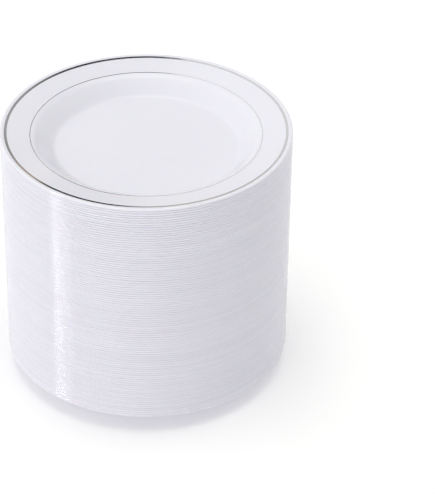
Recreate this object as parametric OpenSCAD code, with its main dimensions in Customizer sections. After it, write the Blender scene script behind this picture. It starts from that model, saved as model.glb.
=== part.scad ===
// A tall stack of nested dinner plates, moulded in glossy white plastic.
// Each plate has a silver foil band near its rim and a fine silver line round its well.
// Lengths are in millimetres, angles in degrees, and +Z is up.
// The origin is on the table, under the centre of the bottom plate.

/* [Stack] */
// Number of plates in the stack
plate_count = 96; // [20:2:100]
// Least gap left between the slanting walls of two nested plates
nest_gap = 0.1; // [0.05:0.05:0.5]
// Play between a plate's edge or foot and the plate it rests on
rest_gap = 0.02; // [0.01:0.01:0.1]

/* [Plate] */
// Outer diameter of a plate
plate_d = 260; // [180:1:320]
// Depth of the well, from the top of the rim to the floor
well_depth = 19; // [14:0.5:26]
// Width of the sloping flange, from the plate's edge to the corner above the well
flange_w = 31; // [22:0.5:45]
// Slope of the flange, which rises towards the rim
flange_angle = 9.5; // [5:0.5:14]
// Slope of the wall round the well
wall_angle = 42; // [35:1:58]
// Thickness of the moulded wall
wall_t = 0.7; // [0.5:0.05:1.2]
// Radius of the curve between the floor and the wall
floor_round = 7; // [3:0.5:10]
// Radius of the curve between the wall and the flange
shoulder_round = 12; // [6:0.5:15]

/* [Rim] */
// Height of the turned-down edge, which rests on the plate below
lip_h = 2.31; // [2.2:0.01:4]
// Thickness of the turned-down edge
lip_w = 2; // [1.6:0.1:2.6]
// Radius of the upper corner of the edge
lip_top_round = 1.3; // [0.3:0.05:1.4]
// Radius of the lower corner of the edge
lip_low_round = 0.25; // [0.1:0.05:0.4]
// Radius of the curve where the edge meets the underside of the flange
lip_root_round = 0.5; // [0.2:0.05:0.7]

/* [Foot] */
// Distance from the corner of the well down to the outside of the foot ring
foot_inset = 7.5; // [5:0.5:20]
// Height of the foot ring under the floor
foot_h = 1.5; // [0.8:0.05:2.5]
// Width of the foot ring where it stands
foot_w = 1.2; // [0.8:0.1:2.4]
// Width of the foot ring at its root
foot_root_w = 1.8; // [1:0.1:3.6]
// Bevel on the standing edges of the foot ring
foot_bevel = 0.2; // [0.1:0.05:0.3]
// Diameter of the shallow recess that the mould's gate leaves under the floor
gate_d = 9; // [5:0.5:16]
// Depth of that recess
gate_depth = 0.2; // [0.1:0.05:0.3]

/* [Foil] */
// Distance from the plate's edge to the wide silver band
band_margin = 3.8; // [2.8:0.1:8]
// Width of the band
band_w = 2.4; // [1:0.1:5]
// Distance from the end of the shoulder's curve to the fine silver line
line_margin = 0.5; // [0.2:0.1:4]
// Width of the line
line_w = 0.7; // [0.4:0.1:1.5]
// Thickness of the foil
foil_t = 0.05; // [0.04:0.01:0.1]

/* [Hidden] */
// Plates that have a node each at the bottom and at the top, where they show their faces
bottom_singles = 3;
top_singles = 9;
// Plates between them share a node in small groups
group_size = 2;

// Steps on each curve of the section
floor_steps = 4;
shoulder_steps = 3;
edge_steps = 3;
// Facets round a plate when it is drawn as a mesh
$fn = 120;

plate_r = plate_d / 2;
floor_z = foot_h + wall_t;
plate_h = floor_z + well_depth;
flange_rise = flange_w * tan(flange_angle);
corner_r = plate_r - flange_w;
corner_z = plate_h - flange_rise;
floor_r = corner_r - (corner_z - floor_z) / tan(wall_angle);

// Centres of the two curves that the upper and lower surfaces share
floor_c = [floor_r - floor_round * tan(wall_angle / 2), floor_z + floor_round];
shoulder_run = shoulder_round * tan((wall_angle - flange_angle) / 2);
shoulder_end = corner_r + shoulder_run * cos(flange_angle);
shoulder_c = [
  shoulder_end + shoulder_round * sin(flange_angle),
  flange_z(shoulder_end) - shoulder_round * cos(flange_angle)
];

foot_out = floor_r - foot_inset;
foot_in = foot_out - foot_w;
foot_taper = (foot_root_w - foot_w) / 2;

// Each plate stands on the one below by its edge, or by its foot where that is deeper
nest_pitch = max(max(lip_h, foot_h + wall_t) + rest_gap, wall_t / cos(wall_angle) + nest_gap);

band_out = plate_r - band_margin;
band_in = band_out - band_w;
line_in = shoulder_end + line_margin;
line_out = line_in + line_w;

// Groups of plates, each as [node name, first plate, last plate], counted from the bottom
middle_last = plate_count - top_singles;
groups = concat(
  [for (n = [1 : bottom_singles]) single(n)],
  [for (n = [bottom_singles + 1 : group_size : middle_last]) several(n, min(n + group_size - 1, middle_last))],
  [for (n = [middle_last + 1 : plate_count]) single(n)]
);

function two_digits(n) = n < 10 ? str("0", n) : str(n);
function single(n) = [str("plate_", two_digits(n)), n, n];
function several(a, b) = a == b ? single(a) : [str("plates_", two_digits(a), "_", two_digits(b)), a, b];

// Height of the flange's upper surface at a distance from the axis
function flange_z(r) = plate_h - (plate_r - r) * tan(flange_angle);

// Points along an arc, both ends included
function arc(centre, r, from, to, steps) =
  [for (i = [0 : steps]) centre + r * [cos(from + (to - from) * i / steps), sin(from + (to - from) * i / steps)]];

// Upper surface, from the middle of the floor out to the start of the edge
function upper_surface() = concat(
  [[0, floor_z]],
  arc(floor_c, floor_round, -90, wall_angle - 90, floor_steps),
  arc(shoulder_c, shoulder_round, 90 + wall_angle, 90 + flange_angle, shoulder_steps)
);

// Turned-down edge, from the top of the rim round to the underside of the flange
function lip() =
  let (
    low_z = plate_h - lip_h,
    inner_r = plate_r - lip_w,
    under_z = flange_z(inner_r) - wall_t / cos(flange_angle),
    steep = tan(45 + flange_angle / 2),
    shallow = tan(45 - flange_angle / 2)
  )
  concat(
    arc([plate_r - lip_top_round, plate_h - lip_top_round * steep], lip_top_round, 90 + flange_angle, 0, edge_steps),
    arc([plate_r - lip_low_round, low_z + lip_low_round * shallow], lip_low_round, 0, flange_angle - 90, edge_steps - 1),
    [[inner_r, low_z - lip_w * tan(flange_angle)]],
    arc([inner_r - lip_root_round, under_z - lip_root_round * steep], lip_root_round, 0, 90 + flange_angle, edge_steps - 1)
  );

// Lower surface, from the flange in to the foot ring
function lower_surface() = concat(
  arc(shoulder_c, shoulder_round - wall_t, 90 + flange_angle, 90 + wall_angle, shoulder_steps),
  arc(floor_c, floor_round + wall_t, wall_angle - 90, -90, floor_steps)
);

// Foot ring with bevelled standing edges, then the gate's recess in the middle
function foot() = [
  [foot_out + foot_taper, foot_h],
  [foot_out, foot_bevel],
  [foot_out - foot_bevel, 0],
  [foot_in + foot_bevel, 0],
  [foot_in, foot_bevel],
  [foot_in - foot_taper, foot_h],
  [gate_d / 2, foot_h],
  [gate_d / 2 - gate_depth, foot_h + gate_depth],
  [0, foot_h + gate_depth]
];

module plate() {
  rotate_extrude()
    polygon(concat(upper_surface(), lip(), lower_surface(), foot()));
}

// Ring of foil lying on the flange between two distances from the axis
module foil_ring(r_in, r_out) {
  rotate_extrude()
    polygon([
      [r_in, flange_z(r_in)],
      [r_out, flange_z(r_out)],
      [r_out, flange_z(r_out) + foil_t],
      [r_in, flange_z(r_in) + foil_t]
    ]);
}

// Puts its child at each place in the stack from one plate to another, counted from the bottom
module at_plates(first, last) {
  for (n = [first : last])
    translate([0, 0, (n - 1) * nest_pitch])
      children();
}

module plates(first, last) {
  color([0.94, 0.93, 0.97])
    at_plates(first, last)
      plate();
}

module rim_bands(first, last) {
  color("silver")
    at_plates(first, last)
      foil_ring(band_in, band_out);
}

module inner_lines(first, last) {
  color("silver")
    at_plates(first, last)
      foil_ring(line_in, line_out);
}

for (g = groups)
  plates(g[1], g[2]);
rim_bands(plate_count, plate_count);  // rim_band_top
inner_lines(plate_count, plate_count);  // inner_line_top
rim_bands(1, plate_count - 1);  // rim_bands_below
inner_lines(1, plate_count - 1);  // inner_lines_below
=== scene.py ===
# %% [markdown]
# A tall stack of nested dinner plates in glossy white plastic.
# Each plate has a silver foil band near its rim and a fine silver line round its well.
# The real sizes come from a fixed frame, which is loaded first and never moved.
# The plates are then turned from one drawn section by Geometry Nodes, and get a finish made of nodes.
# The camera is set up before them, and the last cells set the floor and the light.

# %% Load the frame
import math

import bpy
from mathutils import Matrix, Vector


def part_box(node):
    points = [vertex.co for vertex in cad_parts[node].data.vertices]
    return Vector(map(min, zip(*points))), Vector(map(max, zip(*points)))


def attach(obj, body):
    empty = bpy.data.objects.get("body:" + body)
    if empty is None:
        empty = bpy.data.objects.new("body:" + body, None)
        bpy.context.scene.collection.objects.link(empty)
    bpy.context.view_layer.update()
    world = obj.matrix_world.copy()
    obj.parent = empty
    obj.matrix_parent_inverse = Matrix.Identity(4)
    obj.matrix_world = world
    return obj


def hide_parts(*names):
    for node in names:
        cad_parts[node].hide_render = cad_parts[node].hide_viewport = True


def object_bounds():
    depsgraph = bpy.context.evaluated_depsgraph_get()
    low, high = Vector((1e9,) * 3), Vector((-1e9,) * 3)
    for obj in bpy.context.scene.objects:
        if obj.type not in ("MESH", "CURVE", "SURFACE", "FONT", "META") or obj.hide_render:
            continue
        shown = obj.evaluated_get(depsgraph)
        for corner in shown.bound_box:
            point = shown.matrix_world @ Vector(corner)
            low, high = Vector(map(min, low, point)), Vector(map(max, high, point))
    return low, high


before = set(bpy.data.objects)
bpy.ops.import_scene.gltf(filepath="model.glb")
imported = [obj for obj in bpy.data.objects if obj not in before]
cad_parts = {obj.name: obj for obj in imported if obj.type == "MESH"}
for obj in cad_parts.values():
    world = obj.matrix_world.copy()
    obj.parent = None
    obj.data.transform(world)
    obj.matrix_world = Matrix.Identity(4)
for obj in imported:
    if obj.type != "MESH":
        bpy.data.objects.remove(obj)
CAD_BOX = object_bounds()
MM = 0.001
print("nodes in the frame:", len(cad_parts))
print("size in mm:", [round((high - low) / MM, 1) for low, high in zip(*CAD_BOX)])

# %% [markdown]
# The camera looks down at the stack from the front, so far away that its rims stay nearly parallel.
# It could be aimed with a Track To constraint, but that can't give the slight roll of a camera held by hand.
# So its three axes are worked out from a yaw, a pitch and a roll, and become the columns of its matrix.

# %% Camera
CAMERA_PLACE = Vector((0.0144, -1.7835, 1.3562))
CAMERA_YAW = math.radians(1.613)
CAMERA_PITCH = math.radians(34.872)
CAMERA_ROLL = math.radians(0.925)
CAMERA_LENS_MM = 172.15
CAMERA_RANGE = (0.05, 50.0)


def camera_axes(yaw, pitch, roll):
    """The camera's right, up and forward directions."""
    forward = Vector((
        math.sin(yaw) * math.cos(pitch),
        math.cos(yaw) * math.cos(pitch),
        -math.sin(pitch),
    ))
    level = Vector((math.cos(yaw), -math.sin(yaw), 0.0))
    upright = level.cross(forward)
    right = math.cos(roll) * level + math.sin(roll) * upright
    up = -math.sin(roll) * level + math.cos(roll) * upright
    return right, up, forward


def add_camera():
    """Makes the camera at its place and turns it."""
    data = bpy.data.cameras.new("Camera")
    data.lens = CAMERA_LENS_MM
    data.clip_start, data.clip_end = CAMERA_RANGE
    camera = bpy.data.objects.new("Camera", data)
    bpy.context.scene.collection.objects.link(camera)
    right, up, forward = camera_axes(CAMERA_YAW, CAMERA_PITCH, CAMERA_ROLL)
    turn = Matrix((right, up, -forward)).transposed().to_4x4()
    camera.matrix_world = Matrix.Translation(CAMERA_PLACE) @ turn
    bpy.context.scene.camera = camera
    return camera


camera = add_camera()
print("camera at", [round(c, 3) for c in camera.matrix_world.translation])

# %% [markdown]
# A plate is moulded in one piece: a floor, a slanting wall, a gently rising flange and a turned-down edge.
# Its section is one line, from the axis out over the top and back underneath, with arcs for its curves.
# The radius and the pitch of the stack are read from the frame, so the plates fit it. The rest is named here.

# %% Sizes of a plate
PLATE_COUNT = 96
top_low, top_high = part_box("plate_96")
_, next_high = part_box("plate_95")
PLATE_R = (top_high.x - top_low.x) / 2
PITCH = top_high.z - next_high.z

WALL_T = 0.7 * MM
WELL_DEPTH = 19 * MM
FLANGE_W = 31 * MM
FLANGE_ANGLE = 9.5
WALL_ANGLE = 42.0
FLOOR_ROUND = 7 * MM
SHOULDER_ROUND = 12 * MM

LIP_H = 2.31 * MM
LIP_W = 2.0 * MM
LIP_TOP_ROUND = 1.3 * MM
LIP_LOW_ROUND = 0.25 * MM
LIP_ROOT_ROUND = 0.5 * MM

FOOT_H = 1.5 * MM
FOOT_INSET = 7.5 * MM
FOOT_W = 1.2 * MM
FOOT_ROOT_W = 1.8 * MM
FOOT_BEVEL = 0.2 * MM
GATE_D = 9 * MM
GATE_DEPTH = 0.2 * MM

print("plate: radius", round(PLATE_R / MM, 2), "pitch", round(PITCH / MM, 3))

# %% Places that follow from the sizes


def tan(degrees):
    return math.tan(math.radians(degrees))


def cos(degrees):
    return math.cos(math.radians(degrees))


def sin(degrees):
    return math.sin(math.radians(degrees))


FLOOR_Z = FOOT_H + WALL_T
PLATE_H = FLOOR_Z + WELL_DEPTH


def flange_z(r):
    """Height of the flange's upper surface at a distance from the axis."""
    return PLATE_H - (PLATE_R - r) * tan(FLANGE_ANGLE)


CORNER_R = PLATE_R - FLANGE_W
FLOOR_R = CORNER_R - (flange_z(CORNER_R) - FLOOR_Z) / tan(WALL_ANGLE)
FLOOR_CENTRE = (FLOOR_R - FLOOR_ROUND * tan(WALL_ANGLE / 2), FLOOR_Z + FLOOR_ROUND)
SHOULDER_END = CORNER_R + SHOULDER_ROUND * tan((WALL_ANGLE - FLANGE_ANGLE) / 2) * cos(FLANGE_ANGLE)
SHOULDER_CENTRE = (
    SHOULDER_END + SHOULDER_ROUND * sin(FLANGE_ANGLE),
    flange_z(SHOULDER_END) - SHOULDER_ROUND * cos(FLANGE_ANGLE),
)
print("floor radius", round(FLOOR_R / MM, 2), "shoulder ends at", round(SHOULDER_END / MM, 2))

# %% [markdown]
# Smooth shading bends the light across a flat face next to a curve, because the two share a corner normal.
# Sharp edges would stop that, but they would also show as a crease in a glossy rim.
# So each flat stretch of the fine section gets a point close to both ends, which keeps the bend in a sliver.

# %% Section of a plate


def arc(centre, radius, start, end, steps):
    """Points along an arc, as (distance from the axis, height), both ends included."""
    turns = [start + (end - start) * i / steps for i in range(steps + 1)]
    return [(centre[0] + radius * cos(t), centre[1] + radius * sin(t)) for t in turns]


def with_holds(points, hold, shortest):
    """The same line, with a point near both ends of each stretch that is longer than the shortest."""
    held = [points[0]]
    for a, b in zip(points, points[1:]):
        length = math.dist(a, b)
        if length > shortest:
            share = hold / length
            held.append((a[0] + (b[0] - a[0]) * share, a[1] + (b[1] - a[1]) * share))
            held.append((b[0] + (a[0] - b[0]) * share, b[1] + (a[1] - b[1]) * share))
        held.append(b)
    return held


def upper_line(floor_steps, shoulder_steps):
    """From the middle of the floor out to the start of the edge."""
    return [
        (0.0, FLOOR_Z),
        *arc(FLOOR_CENTRE, FLOOR_ROUND, -90, WALL_ANGLE - 90, floor_steps),
        *arc(SHOULDER_CENTRE, SHOULDER_ROUND, 90 + WALL_ANGLE, 90 + FLANGE_ANGLE, shoulder_steps),
    ]


def edge_line(top_steps, low_steps):
    """From the top of the rim round the turned-down edge to the underside of the flange."""
    steep = tan(45 + FLANGE_ANGLE / 2)
    shallow = tan(45 - FLANGE_ANGLE / 2)
    low_z = PLATE_H - LIP_H
    inner_r = PLATE_R - LIP_W
    under_z = flange_z(inner_r) - WALL_T / cos(FLANGE_ANGLE)
    top = (PLATE_R - LIP_TOP_ROUND, PLATE_H - LIP_TOP_ROUND * steep)
    low = (PLATE_R - LIP_LOW_ROUND, low_z + LIP_LOW_ROUND * shallow)
    root = (inner_r - LIP_ROOT_ROUND, under_z - LIP_ROOT_ROUND * steep)
    return [
        *arc(top, LIP_TOP_ROUND, 90 + FLANGE_ANGLE, 0, top_steps),
        *arc(low, LIP_LOW_ROUND, 0, FLANGE_ANGLE - 90, low_steps),
        (inner_r, low_z - LIP_W * tan(FLANGE_ANGLE)),
        *arc(root, LIP_ROOT_ROUND, 0, 90 + FLANGE_ANGLE, low_steps),
    ]


def lower_line(floor_steps, shoulder_steps):
    """From the flange's underside in to the foot ring."""
    return [
        *arc(SHOULDER_CENTRE, SHOULDER_ROUND - WALL_T, 90 + FLANGE_ANGLE, 90 + WALL_ANGLE, shoulder_steps),
        *arc(FLOOR_CENTRE, FLOOR_ROUND + WALL_T, WALL_ANGLE - 90, -90, floor_steps),
    ]


def foot_line():
    """The foot ring with its bevelled edges, then the shallow recess of the mould's gate."""
    outer = FLOOR_R - FOOT_INSET
    inner = outer - FOOT_W
    taper = (FOOT_ROOT_W - FOOT_W) / 2
    gate_r = GATE_D / 2
    return [
        (outer + taper, FOOT_H),
        (outer, FOOT_BEVEL),
        (outer - FOOT_BEVEL, 0.0),
        (inner + FOOT_BEVEL, 0.0),
        (inner, FOOT_BEVEL),
        (inner - taper, FOOT_H),
        (gate_r, FOOT_H),
        (gate_r - GATE_DEPTH, FOOT_H + GATE_DEPTH),
        (0.0, FOOT_H + GATE_DEPTH),
    ]


def plate_line(curve_steps, edge_steps):
    """The whole section of a plate, from the axis back to the axis."""
    return [
        *upper_line(curve_steps, curve_steps),
        *edge_line(edge_steps, max(2, edge_steps // 2)),
        *lower_line(curve_steps, curve_steps),
        *foot_line(),
    ]


HOLD = 0.35 * MM
SHORTEST_FLAT = 3 * MM
FINE_STEPS = {"curve_steps": 10, "edge_steps": 8}
STACKED_STEPS = {"curve_steps": 2, "edge_steps": 5}
FINE_PLATE = with_holds(plate_line(**FINE_STEPS), HOLD, SHORTEST_FLAT)
STACKED_PLATE = plate_line(**STACKED_STEPS)
print("points in a section: fine", len(FINE_PLATE), "stacked", len(STACKED_PLATE))

# %% [markdown]
# Plates are turned things, so one rule makes them all: sweep the section round the axis, then repeat it.
# A Spin and an Array could do that, but a tree keeps the count, the pitch and the seed as named inputs.
# The sweep runs round a small circle, so the section first moves in by that circle's radius.
# Each plate is also put a hair off the axis, by its own number in the stack, as hand-stacked plates are.

# %% Tree that turns a section and stacks the result
SWEEP_R = 10 * MM
MERGE_DISTANCE = 0.001 * MM
SHARP_ANGLE = math.radians(50)
SWAY = 0.12 * MM
STACK_SEED = 7
TREE_INPUTS = [
    ("Sides", "NodeSocketInt"),
    ("First Plate", "NodeSocketInt"),
    ("Plates", "NodeSocketInt"),
    ("Pitch", "NodeSocketFloat"),
    ("Sway", "NodeSocketFloat"),
    ("Seed", "NodeSocketInt"),
    ("Finish", "NodeSocketMaterial"),
]


class Wiring:
    """Adds nodes to a tree, and links or sets their inputs by name."""

    def __init__(self, tree):
        self.tree = tree

    def add(self, kind, inputs=None, **settings):
        node = self.tree.nodes.new(kind)
        for name, value in settings.items():
            setattr(node, name, value)
        for name, value in (inputs or {}).items():
            if isinstance(value, bpy.types.NodeSocket):
                self.tree.links.new(value, node.inputs[name])
            else:
                node.inputs[name].default_value = value
        return node


def turned_plate(wire, given):
    """Sweeps the given section round the Z axis, with smooth curves and sharp corners."""
    section = wire.add("GeometryNodeMeshToCurve", {"Mesh": given["Geometry"]})
    profile = wire.add("GeometryNodeTransform", {
        "Geometry": section.outputs["Curve"],
        "Translation": (-SWEEP_R, 0.0, 0.0),
        "Rotation": (math.pi / 2, 0.0, 0.0),
    })
    path = wire.add("GeometryNodeCurvePrimitiveCircle", {"Resolution": given["Sides"], "Radius": SWEEP_R})
    sweep = wire.add("GeometryNodeCurveToMesh", {
        "Curve": path.outputs["Curve"],
        "Profile Curve": profile.outputs["Geometry"],
    })
    closed = wire.add("GeometryNodeMergeByDistance", {
        "Geometry": sweep.outputs["Mesh"],
        "Distance": MERGE_DISTANCE,
    })
    angle = wire.add("GeometryNodeInputMeshEdgeAngle").outputs["Unsigned Angle"]
    is_soft = wire.add("ShaderNodeMath", {0: angle, 1: SHARP_ANGLE}, operation="LESS_THAN")
    smooth = wire.add("GeometryNodeSetShadeSmooth", {"Geometry": closed.outputs["Geometry"]}, domain="FACE")
    return wire.add("GeometryNodeSetShadeSmooth", {
        "Geometry": smooth.outputs["Geometry"],
        "Shade Smooth": is_soft.outputs[0],
    }, domain="EDGE").outputs["Geometry"]


def plate_places(wire, given):
    """A point for each plate, one pitch above the other, from the first plate's height up."""
    before = wire.add("ShaderNodeMath", {0: given["First Plate"], 1: 1.0}, operation="SUBTRACT")
    height = wire.add("ShaderNodeMath", {0: before.outputs[0], 1: given["Pitch"]}, operation="MULTIPLY")
    start = wire.add("ShaderNodeCombineXYZ", {"Z": height.outputs[0]})
    step = wire.add("ShaderNodeCombineXYZ", {"Z": given["Pitch"]})
    return wire.add("GeometryNodeMeshLine", {
        "Count": given["Plates"],
        "Start Location": start.outputs[0],
        "Offset": step.outputs[0],
    }, mode="OFFSET").outputs["Mesh"]


def plate_shift(wire, given):
    """The least and the greatest shift of a plate off the axis."""
    least = wire.add("ShaderNodeMath", {0: given["Sway"], 1: -1.0}, operation="MULTIPLY").outputs[0]
    low = wire.add("ShaderNodeCombineXYZ", {"X": least, "Y": least})
    high = wire.add("ShaderNodeCombineXYZ", {"X": given["Sway"], "Y": given["Sway"]})
    return low.outputs[0], high.outputs[0]


def random_value(wire, kind, number, seed, limits=(None, None)):
    """A random value for each plate, which depends only on its number and the seed."""
    node = wire.add("FunctionNodeRandomValue", data_type=kind)
    sockets = [s for s in node.inputs if s.enabled]
    for socket, source in zip(sockets, (*limits, number, seed)):
        if source is not None:
            wire.tree.links.new(source, socket)
    return next(s for s in node.outputs if s.enabled)


def turned_stack_tree():
    """Turns the object's own section into a plate, and stacks copies of it."""
    tree = bpy.data.node_groups.new("turned_stack", "GeometryNodeTree")
    tree.interface.new_socket("Geometry", in_out="INPUT", socket_type="NodeSocketGeometry")
    for name, kind in TREE_INPUTS:
        tree.interface.new_socket(name, in_out="INPUT", socket_type=kind)
    tree.interface.new_socket("Geometry", in_out="OUTPUT", socket_type="NodeSocketGeometry")
    wire = Wiring(tree)
    given = wire.add("NodeGroupInput").outputs

    index = wire.add("GeometryNodeInputIndex").outputs[0]
    number = wire.add("ShaderNodeMath", {0: index, 1: given["First Plate"]}, operation="ADD").outputs[0]
    spread = wire.add("GeometryNodeSetPosition", {
        "Geometry": plate_places(wire, given),
        "Offset": random_value(wire, "FLOAT_VECTOR", number, given["Seed"], plate_shift(wire, given)),
    })
    stacked = wire.add("GeometryNodeInstanceOnPoints", {
        "Points": spread.outputs["Geometry"],
        "Instance": turned_plate(wire, given),
    })
    toned = wire.add("GeometryNodeStoreNamedAttribute", {
        "Geometry": stacked.outputs["Instances"],
        "Name": "plate_tone",
        "Value": random_value(wire, "FLOAT", number, given["Seed"]),
    }, data_type="FLOAT", domain="INSTANCE")
    real = wire.add("GeometryNodeRealizeInstances", {"Geometry": toned.outputs["Geometry"]})
    painted = wire.add("GeometryNodeSetMaterial", {
        "Geometry": real.outputs["Geometry"],
        "Material": given["Finish"],
    })
    wire.add("NodeGroupOutput", {"Geometry": painted.outputs["Geometry"]})
    return tree


TURNED_STACK = turned_stack_tree()
print("tree", TURNED_STACK.name, "with", len(TURNED_STACK.nodes), "nodes")

# %% [markdown]
# Materials and the sky are both trees of nodes, and both need the same few sums.
# A small function for each keeps the trees readable, as a formula is easier to follow than a list of links.

# %% Sums of nodes


def product(wire, a, b):
    return wire.add("ShaderNodeMath", {0: a, 1: b}, operation="MULTIPLY").outputs[0]


def total(wire, a, b):
    return wire.add("ShaderNodeMath", {0: a, 1: b}, operation="ADD").outputs[0]


def ramp(wire, value, low, high):
    """A smooth step of a value from 0 at low to 1 at high."""
    return wire.add("ShaderNodeMapRange", {
        "Value": value,
        "From Min": low,
        "From Max": high,
    }, interpolation_type="SMOOTHSTEP").outputs["Result"]


def blend(wire, share, first, second):
    """A mix of two colours."""
    return wire.add("ShaderNodeMixRGB", {"Fac": share, "Color1": first, "Color2": second}).outputs["Color"]


# %% [markdown]
# The plates are moulded in a glossy white plastic with a faint lavender cast, as bright as glazed china.
# An even white gloss looks drawn, so the finish gets three things that real mouldings have.
# The colour differs a little from plate to plate, the gloss is patchy, and the surface waves very slightly.
# The renderer lets white plates light each other's joints until they vanish, though real joints show as fine
# dark lines of shade.
# So shade is painted into the colour where one rim rests on the next, at heights that follow from the pitch.

# %% White plastic
PLASTIC_COLOUR = (0.86, 0.85, 0.925, 1.0)
PLASTIC_SHADE = (0.80, 0.79, 0.875, 1.0)
TONE_SPREAD = 0.55
PLASTIC_IOR = 1.45
PLASTIC_SPECULAR = 0.4
SCATTER_SHARE = 0.08
SCATTER_DEPTH = 1.5 * MM
CLOUD_SCALE = 26.0
CLOUD_DETAIL = 4.0
CLOUD_ROUGHNESS = 0.55
CLOUD_SPREAD = 0.25
# Painted shade in the joints between rims: its grey, its share, where it starts within a pitch, and the radii
# it covers.
PAINTED_JOINT_SHADE_COLOUR = (0.42, 0.41, 0.47, 1.0)
PAINTED_JOINT_SHADE_SHARE = 0.75
JOINT_START = 0.72
JOINT_RADII = (PLATE_R - 1.6 * MM, PLATE_R - 1.3 * MM)
GLOSS_LOW = 0.06
GLOSS_HIGH = 0.14
WAVE_SCALE = 18.0
WAVE_DETAIL = 1.0
WAVE_HEIGHT = 0.05 * MM
RIB_SCALE = (9.0, 9.0, 300.0)
RIB_HEIGHT = 0.004 * MM
NOISE_LOW = 0.3
NOISE_HIGH = 0.7
FINE_DETAIL = 2.0


def new_material(name):
    """A material whose tree holds only a shader, with the wiring to add more."""
    material = bpy.data.materials.new(name)
    material.use_nodes = True
    material.node_tree.nodes.clear()
    wire = Wiring(material.node_tree)
    shader = wire.add("ShaderNodeBsdfPrincipled")
    wire.add("ShaderNodeOutputMaterial", {"Surface": shader.outputs["BSDF"]})
    return material, wire, shader


def noise(wire, place, scale, detail, roughness=0.5):
    """A noise around one half. Most of it lies between NOISE_LOW and NOISE_HIGH."""
    return wire.add("ShaderNodeTexNoise", {
        "Vector": place,
        "Scale": scale,
        "Detail": detail,
        "Roughness": roughness,
    }).outputs["Fac"]


def cloudy_gloss(wire, shader, cloud, low, high):
    """A roughness between low and high, in the patches of a noise."""
    gloss = wire.add("ShaderNodeMapRange", {
        "Value": cloud,
        "From Min": NOISE_LOW,
        "From Max": NOISE_HIGH,
        "To Min": low,
        "To Max": high,
    })
    wire.tree.links.new(gloss.outputs["Result"], shader.inputs["Roughness"])


def bumped(wire, height, distance, normal=None):
    """The normal of a surface raised by a height, on top of an earlier normal if there is one."""
    bump = wire.add("ShaderNodeBump", {"Height": height, "Strength": 1.0, "Distance": distance})
    if normal is not None:
        wire.tree.links.new(normal, bump.inputs["Normal"])
    return bump.outputs["Normal"]


def waved(wire, place):
    """The slow waves of a moulded surface, which the foil takes up from the plastic."""
    return bumped(wire, noise(wire, place, WAVE_SCALE, WAVE_DETAIL), WAVE_HEIGHT)


def painted_joint_shade(wire, place):
    """How near a point lies to the joint above its rim, from 0 to 1, which sets how much shade is painted
    there. The top rim has no joint above it.
    """
    axes = wire.add("ShaderNodeSeparateXYZ", {"Vector": place}).outputs
    steps = product(wire, total(wire, axes["Z"], LIP_H - PLATE_H), 1 / PITCH)
    within = wire.add("ShaderNodeMath", {0: steps}, operation="FRACT").outputs[0]
    is_covered = wire.add("ShaderNodeMath", {0: steps, 1: PLATE_COUNT - 1}, operation="LESS_THAN").outputs[0]
    flat = wire.add("ShaderNodeCombineXYZ", {"X": axes["X"], "Y": axes["Y"]}).outputs["Vector"]
    radius = wire.add("ShaderNodeVectorMath", {0: flat}, operation="LENGTH").outputs["Value"]
    on_rim = product(wire, ramp(wire, radius, *JOINT_RADII), is_covered)
    return product(wire, ramp(wire, within, JOINT_START, 1.0), on_rim)


def white_plastic():
    """Glossy white plastic, uneven from plate to plate, with shade painted darker into the joints."""
    material, wire, shader = new_material("white_plastic")
    place = wire.add("ShaderNodeTexCoord").outputs["Object"]

    tone = wire.add("ShaderNodeAttribute", attribute_name="plate_tone").outputs["Fac"]
    cloud = noise(wire, place, CLOUD_SCALE, CLOUD_DETAIL, CLOUD_ROUGHNESS)
    shade = total(wire, product(wire, tone, TONE_SPREAD), product(wire, cloud, CLOUD_SPREAD))
    colour = blend(wire, shade, PLASTIC_COLOUR, PLASTIC_SHADE)
    # Painted shade: the colour darkens towards a grey where one rim rests on the next.
    painted_shade = product(wire, painted_joint_shade(wire, place), PAINTED_JOINT_SHADE_SHARE)
    wire.tree.links.new(blend(wire, painted_shade, colour, PAINTED_JOINT_SHADE_COLOUR), shader.inputs["Base Color"])

    cloudy_gloss(wire, shader, cloud, GLOSS_LOW, GLOSS_HIGH)

    stretched = wire.add("ShaderNodeMapping", {"Vector": place, "Scale": RIB_SCALE}).outputs["Vector"]
    rib = noise(wire, stretched, 1.0, FINE_DETAIL)
    ribbed = bumped(wire, rib, RIB_HEIGHT, waved(wire, place))
    wire.tree.links.new(ribbed, shader.inputs["Normal"])

    shader.inputs["IOR"].default_value = PLASTIC_IOR
    shader.inputs["Specular IOR Level"].default_value = PLASTIC_SPECULAR
    shader.inputs["Subsurface Weight"].default_value = SCATTER_SHARE
    shader.inputs["Subsurface Scale"].default_value = SCATTER_DEPTH
    return material


WHITE_PLASTIC = white_plastic()
print("material", WHITE_PLASTIC.name, "with", len(WHITE_PLASTIC.node_tree.nodes), "nodes")

# %% [markdown]
# The band and the fine line are hot-stamped foil, a mirror-like silver that lies flat on the moulding.
# A perfect mirror would look like chrome, while foil stamped on plastic is always a little cloudy.
# A metallic shader with a low, uneven roughness does it, over the same slow waves as the plastic.

# %% Silver foil
FOIL_COLOUR = (0.88, 0.88, 0.89, 1.0)
FOIL_GLOSS_LOW = 0.06
FOIL_GLOSS_HIGH = 0.14
FOIL_CLOUD_SCALE = 60.0
FOIL_CLOUD_DETAIL = 5.0
FOIL_GRAIN_SCALE = 900.0
FOIL_GRAIN_HEIGHT = 0.002 * MM


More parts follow.
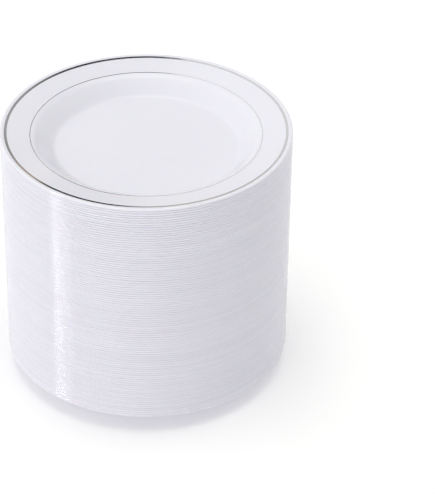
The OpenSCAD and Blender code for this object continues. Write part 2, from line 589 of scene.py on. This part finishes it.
def silver_foil():
    """Stamped silver foil, bright and slightly cloudy."""
    material, wire, shader = new_material("silver_foil")
    place = wire.add("ShaderNodeTexCoord").outputs["Object"]
    cloud = noise(wire, place, FOIL_CLOUD_SCALE, FOIL_CLOUD_DETAIL)
    cloudy_gloss(wire, shader, cloud, FOIL_GLOSS_LOW, FOIL_GLOSS_HIGH)
    grain = noise(wire, place, FOIL_GRAIN_SCALE, FINE_DETAIL)
    grained = bumped(wire, grain, FOIL_GRAIN_HEIGHT, waved(wire, place))
    wire.tree.links.new(grained, shader.inputs["Normal"])
    shader.inputs["Base Color"].default_value = FOIL_COLOUR
    shader.inputs["Metallic"].default_value = 1.0
    return material


SILVER_FOIL = silver_foil()
print("material", SILVER_FOIL.name, "with", len(SILVER_FOIL.node_tree.nodes), "nodes")

# %% [markdown]
# Now the section becomes plates, with one piece for each node of the frame, which holds one plate or two.
# The tree works on a small mesh that holds only the section, and its result is kept as a plain mesh.
# The top and the bottom plate show their faces, so they get the fine section, and the others a light one.

# %% Turn one piece
FINE_SIDES = 256
STACKED_SIDES = 128


def set_input(modifier, name, value):
    """Sets one of the tree's named inputs on the modifier, by the socket's identifier."""
    sockets = modifier.node_group.interface.items_tree
    socket = next(s for s in sockets if s.name == name and s.in_out == "INPUT")
    modifier[socket.identifier] = value


def section_object(name, points, is_closed):
    """An object whose mesh is only the section, drawn in the XZ plane."""
    edges = [(i, i + 1) for i in range(len(points) - 1)]
    if is_closed:
        edges.append((len(points) - 1, 0))
    mesh = bpy.data.meshes.new(name)
    mesh.from_pydata([(r, 0.0, z) for r, z in points], edges, [])
    piece = bpy.data.objects.new(name, mesh)
    bpy.context.scene.collection.objects.link(piece)
    return piece


def turned(name, points, first, count, sides, finish, is_closed=False):
    """A plain mesh object made by the tree, standing at the origin."""
    piece = section_object(name, points, is_closed)
    modifier = piece.modifiers.new("Turned stack", "NODES")
    modifier.node_group = TURNED_STACK
    values = {
        "Sides": sides,
        "First Plate": first,
        "Plates": count,
        "Pitch": PITCH,
        "Sway": SWAY,
        "Seed": STACK_SEED,
        "Finish": finish,
    }
    for key, value in values.items():
        set_input(modifier, key, value)
    graph = bpy.context.evaluated_depsgraph_get()
    made = bpy.data.meshes.new_from_object(piece.evaluated_get(graph))
    made.name = name
    piece.modifiers.remove(modifier)
    drawn = piece.data
    piece.data = made
    bpy.data.meshes.remove(drawn)
    return piece


def triangles(piece):
    return sum(len(face.vertices) - 2 for face in piece.data.polygons)


def stand_for(piece, node):
    """The piece takes the node's place in the frame."""
    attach(piece, "root")
    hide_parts(node)


# %% All the plates
FINE_NODES = ("plate_96", "plate_01")


def plates_in(node):
    """First plate and number of plates in a node, from its name, such as plate_96 or plates_04_05."""
    numbers = [int(part) for part in node.split("_")[1:]]
    return numbers[0], numbers[-1] - numbers[0] + 1


plate_nodes = sorted(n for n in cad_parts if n.startswith("plate"))
made_triangles = 0
for node in plate_nodes:
    first, count = plates_in(node)
    is_fine = node in FINE_NODES
    points = FINE_PLATE if is_fine else STACKED_PLATE
    sides = FINE_SIDES if is_fine else STACKED_SIDES
    piece = turned("dressed_" + node, points, first, count, sides, WHITE_PLASTIC)
    stand_for(piece, node)
    made_triangles += triangles(piece)
print("plates:", len(plate_nodes), "pieces with", made_triangles, "triangles")

# %% [markdown]
# The top plate's foil shows at close range, so it is turned finely, as a thin strip on the flange.
# Its edges are left square, because on foil this thin a rounding can't be seen.
# The rings on the plates below are almost wholly covered, so the frame's own rings stay and get the finish.

# %% Foil
BAND_MARGIN = 3.8 * MM
BAND_W = 2.4 * MM
LINE_MARGIN = 0.5 * MM
LINE_W = 0.7 * MM
FOIL_T = 0.02 * MM


def foil_section(r_in, r_out):
    """A thin strip on the flange."""
    return [
        (r_in, flange_z(r_in)),
        (r_out, flange_z(r_out)),
        (r_out, flange_z(r_out) + FOIL_T),
        (r_in, flange_z(r_in) + FOIL_T),
    ]


band_out = PLATE_R - BAND_MARGIN
line_in = SHOULDER_END + LINE_MARGIN
foil_rings = {
    "rim_band_top": (band_out - BAND_W, band_out),
    "inner_line_top": (line_in, line_in + LINE_W),
}
for node, (r_in, r_out) in foil_rings.items():
    points = foil_section(r_in, r_out)
    piece = turned("dressed_" + node, points, PLATE_COUNT, 1, FINE_SIDES, SILVER_FOIL, is_closed=True)
    stand_for(piece, node)
    print(node, "radii in mm", round(r_in / MM, 2), round(r_out / MM, 2), "triangles", triangles(piece))

for node in ("rim_bands_below", "inner_lines_below"):
    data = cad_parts[node].data
    data.materials.clear()
    data.materials.append(SILVER_FOIL)
    print(node, "keeps its mesh:", len(data.polygons), "faces")

# %% [markdown]
# The floor is a plain pale sheet, wide enough that its edge never comes into view.
# White paper under studio light burns out to pure white, while a diffuse white always stays a little grey.
# A small share of emission lifts it to white and also lights the stack from below, as bright paper does.

# %% Floor
FLOOR_SIZE = 12.0
FLOOR_COLOUR = (0.93, 0.93, 0.94, 1.0)
FLOOR_ROUGHNESS = 0.9
FLOOR_GLOW = 0.14


def add_floor():
    """A flat square sheet under the stack."""
    half = FLOOR_SIZE / 2
    mesh = bpy.data.meshes.new("floor")
    corners = [(-half, -half, 0.0), (half, -half, 0.0), (half, half, 0.0), (-half, half, 0.0)]
    mesh.from_pydata(corners, [], [(0, 1, 2, 3)])
    material, _, shader = new_material("pale_floor")
    shader.inputs["Base Color"].default_value = FLOOR_COLOUR
    shader.inputs["Roughness"].default_value = FLOOR_ROUGHNESS
    shader.inputs["Specular IOR Level"].default_value = 0.0
    shader.inputs["Emission Color"].default_value = (1.0, 1.0, 1.0, 1.0)
    shader.inputs["Emission Strength"].default_value = FLOOR_GLOW
    mesh.materials.append(material)
    floor = bpy.data.objects.new("floor", mesh)
    bpy.context.scene.collection.objects.link(floor)


add_floor()
print("floor", FLOOR_SIZE, "m wide")

# %% [markdown]
# Gloss and foil look real only if they have something to mirror, so the sky is not one grey.
# It is white all round, with a softbox overhead, whose light is warmer than the rest, and a brighter front.
# The front right is nearly dark, as if a black screen stood there, so the stack's side darkens to the right.
# Behind the stack hangs a narrow grey backdrop, and beside it one corner of the room is dark.
# The silver band mirrors just these two, and they are too small to dim the light on the plates much.
# Their colours are listed as stops, each at its height on the sky, from 0 at the horizon to 1 overhead.

# %% Sky
TO_THE_RIGHT = (1.0, 0.0, 0.0)
TO_THE_BACK = (0.0, 1.0, 0.0)
UPWARDS = (0.0, 0.0, 1.0)
SKY_LEVEL = 0.855
SKY_PULL = (0.03, 0.10, 0.03)
SOFTBOX_LIGHT = (2.00, 1.99, 1.76)
SOFTBOX_EDGE = (0.91, 0.96)
FRONT_SIDE = (-0.30, -0.95, 0.10)
FRONT_EDGE = (0.70, 0.97)
FRONT_GAIN = 0.66
DIM_SIDE = (0.86, -0.51, 0.0)
DIM_EDGE = (0.45, 0.95)
DIM_SHARE = -0.92
BEHIND_EDGE = (0.15, 0.35)
RIGHT_EDGE = (0.60, 0.40)
BACKDROP_LEFT_EDGE = (-0.24, -0.18)
BACKDROP_TOP_EDGE = (0.86, 0.80)
BACKDROP_COLOURS = (
    (0.00, (0.60, 0.59, 0.58)),
    (0.26, (0.48, 0.46, 0.44)),
    (0.36, (0.58, 0.57, 0.57)),
    (0.50, (0.70, 0.70, 0.71)),
    (0.75, (0.76, 0.76, 0.77)),
)
CORNER_SLANT = (1.0, 0.0, 0.09)
CORNER_LEFT_EDGE = (0.018, 0.030)
CORNER_COLOURS = (
    (0.00, (0.50, 0.50, 0.51)),
    (0.20, (0.01, 0.01, 0.01)),
    (0.335, (0.01, 0.01, 0.01)),
    (0.350, (0.52, 0.44, 0.38)),
    (0.40, (0.46, 0.40, 0.36)),
    (0.44, (0.27, 0.27, 0.27)),
    (0.48, (0.30, 0.30, 0.30)),
    (0.53, (0.40, 0.40, 0.40)),
    (0.64, (0.32, 0.32, 0.32)),
    (0.69, (0.16, 0.16, 0.16)),
    (0.72, (0.04, 0.04, 0.05)),
    (0.77, (0.05, 0.05, 0.06)),
    (0.86, (1.00, 1.00, 1.00)),
)


def along(wire, direction, axis):
    """How far the direction points along an axis."""
    share = wire.add("ShaderNodeVectorMath", {0: direction, 1: axis}, operation="DOT_PRODUCT")
    return share.outputs["Value"]


def colours(wire, value, stops):
    """A colour that follows a value through the given stops, each a place and a colour."""
    node = wire.add("ShaderNodeValToRGB", {"Fac": value})
    elements = node.color_ramp.elements
    while len(elements) < len(stops):
        elements.new(1.0)
    for element, (place, colour) in zip(elements, stops):
        element.position = place
        element.color = (*colour, 1.0)
    return node.outputs["Color"]


def add_sky():
    """A white world with a softbox, a bright front, a dim right, a grey backdrop and a dark corner."""
    world = bpy.data.worlds.new("studio")
    world.use_nodes = True
    tree = world.node_tree
    tree.nodes.clear()
    wire = Wiring(tree)
    direction = wire.add("ShaderNodeTexCoord").outputs["Generated"]
    height = along(wire, direction, UPWARDS)
    pull = total(wire, along(wire, direction, SKY_PULL), SKY_LEVEL)
    front = product(wire, ramp(wire, along(wire, direction, FRONT_SIDE), *FRONT_EDGE), FRONT_GAIN)
    dim = product(wire, ramp(wire, along(wire, direction, DIM_SIDE), *DIM_EDGE), DIM_SHARE)
    around = product(wire, total(wire, pull, front), total(wire, dim, 1.0))
    softbox = wire.add("ShaderNodeVectorMath", {
        0: SOFTBOX_LIGHT,
        "Scale": ramp(wire, height, *SOFTBOX_EDGE),
    }, operation="SCALE").outputs["Vector"]
    white = wire.add("ShaderNodeVectorMath", {0: softbox, 1: around}, operation="ADD").outputs["Vector"]

    across = along(wire, direction, TO_THE_RIGHT)
    deep = along(wire, direction, TO_THE_BACK)
    behind = product(wire, ramp(wire, deep, *BEHIND_EDGE), ramp(wire, across, *RIGHT_EDGE))
    past_left = ramp(wire, across, *BACKDROP_LEFT_EDGE)
    below_top = ramp(wire, height, *BACKDROP_TOP_EDGE)
    in_backdrop = product(wire, product(wire, past_left, below_top), behind)
    in_corner = product(wire, ramp(wire, along(wire, direction, CORNER_SLANT), *CORNER_LEFT_EDGE), behind)
    backed = blend(wire, in_backdrop, white, colours(wire, height, BACKDROP_COLOURS))
    cornered = blend(wire, in_corner, backed, colours(wire, height, CORNER_COLOURS))
    sky = wire.add("ShaderNodeBackground", {"Color": cornered})
    wire.add("ShaderNodeOutputWorld", {"Surface": sky.outputs["Background"]})
    bpy.context.scene.world = world


add_sky()
print("sky level", SKY_LEVEL, "with", len(CORNER_COLOURS), "colours in its dark corner")

# %% [markdown]
# A narrow strip light to the left draws the ribbed highlight down the stack, a glint for each rounded rim.
# Its width sets the width of the glints. It is placed by an azimuth, from the viewer's side to the left.
# It shows only in reflections and casts no light, because so near a lamp would burn out the left side.

# %% Strip light
STRIP_AZIMUTH = 69
STRIP_ELEVATION = 30
STRIP_DISTANCE = 1.6
STRIP_WIDTH = 0.15
STRIP_HEIGHT = 1.0
STRIP_POWER = 14.0


def add_strip_light():
    """An upright rectangular light that looks at the middle of the stack."""
    target = (CAD_BOX[0] + CAD_BOX[1]) / 2
    away = Vector((
        -sin(STRIP_AZIMUTH) * cos(STRIP_ELEVATION),
        -cos(STRIP_AZIMUTH) * cos(STRIP_ELEVATION),
        sin(STRIP_ELEVATION),
    ))
    data = bpy.data.lights.new("strip_light", "AREA")
    data.shape = "RECTANGLE"
    data.size = STRIP_WIDTH
    data.size_y = STRIP_HEIGHT
    data.energy = STRIP_POWER
    light = bpy.data.objects.new("strip_light", data)
    light.location = target + away * STRIP_DISTANCE
    light.rotation_euler = away.to_track_quat("Z", "Y").to_euler()
    light.visible_diffuse = False
    light.visible_camera = False
    bpy.context.scene.collection.objects.link(light)
    return light


strip = add_strip_light()
print("strip light at", [round(c, 2) for c in strip.location])

# %% [markdown]
# The film look that most scenes start with turns white into a light grey.
# A white product needs its white, so the plain Standard look is used here.

# %% Look
bpy.context.scene.view_settings.view_transform = "Standard"
bpy.context.scene.view_settings.look = "None"
print("view transform", bpy.context.scene.view_settings.view_transform)
